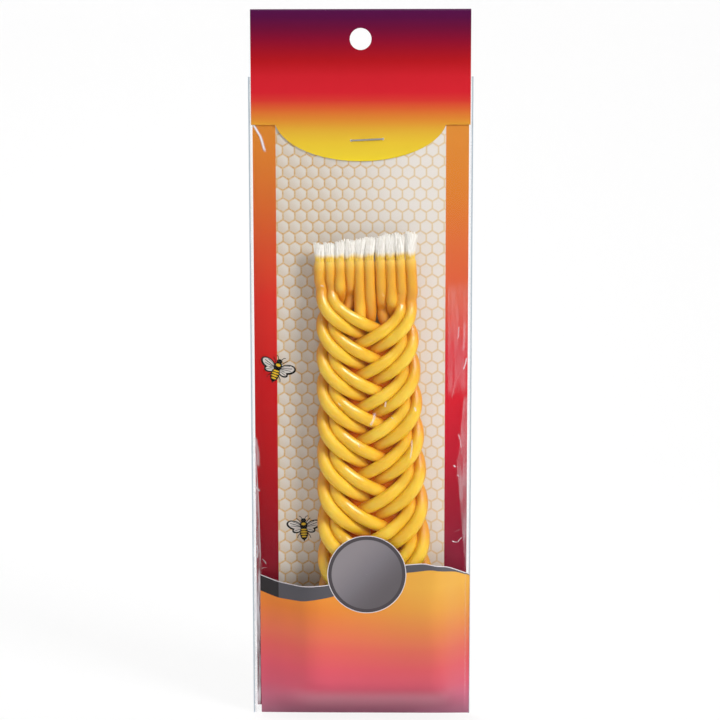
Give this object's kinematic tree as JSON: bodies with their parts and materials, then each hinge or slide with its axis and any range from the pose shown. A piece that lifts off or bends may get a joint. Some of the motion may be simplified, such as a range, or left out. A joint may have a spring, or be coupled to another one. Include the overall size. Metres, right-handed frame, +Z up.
{
  "type": "packaged braided candle",
  "caption": "Braided beeswax havdalah candle in a clear hanging bag, with a honeycomb insert card behind it and a folded header card stapled over the top.",
  "frame": {"origin": "centre of the hang hole, half way through the folded header card", "axes": "+X to the right as the pack is looked at, +Y backwards through the pack, so that the front faces -Y, and +Z up along the pack"},
  "size_m": [0.085, 0.017, 0.2731],
  "materials": {
    "beeswax": "smooth dipped beeswax with a soft sheen",
    "cotton": "white frayed cotton",
    "header_print": "coated card printed with a dark purple to yellow gradient",
    "insert_print": "coated card printed with a honeycomb panel and a gradient border",
    "clear_film": "clear glossy film",
    "staple_steel": "bright drawn wire"
  },
  "bodies": {
    "pack": {"header_card": "header_print", "insert_card": "insert_print", "bag_front": "clear_film", "bag_back": "clear_film", "staple": "staple_steel"},
    "candle": {"taper_1": "beeswax", "taper_2": "beeswax", "taper_3": "beeswax", "taper_4": "beeswax", "taper_5": "beeswax", "taper_6": "beeswax", "taper_7": "beeswax", "taper_8": "beeswax", "taper_9": "beeswax", "taper_10": "beeswax", "wick_1": "cotton", "wick_2": "cotton", "wick_3": "cotton", "wick_4": "cotton", "wick_5": "cotton", "wick_6": "cotton", "wick_7": "cotton", "wick_8": "cotton", "wick_9": "cotton", "wick_10": "cotton"}
  },
  "joints": [
    {"name": "candle_slide", "type": "slide", "parent": "pack", "child": "candle", "axis": [0, 0, 1], "range_m": [0, 0.01]}
  ]
}
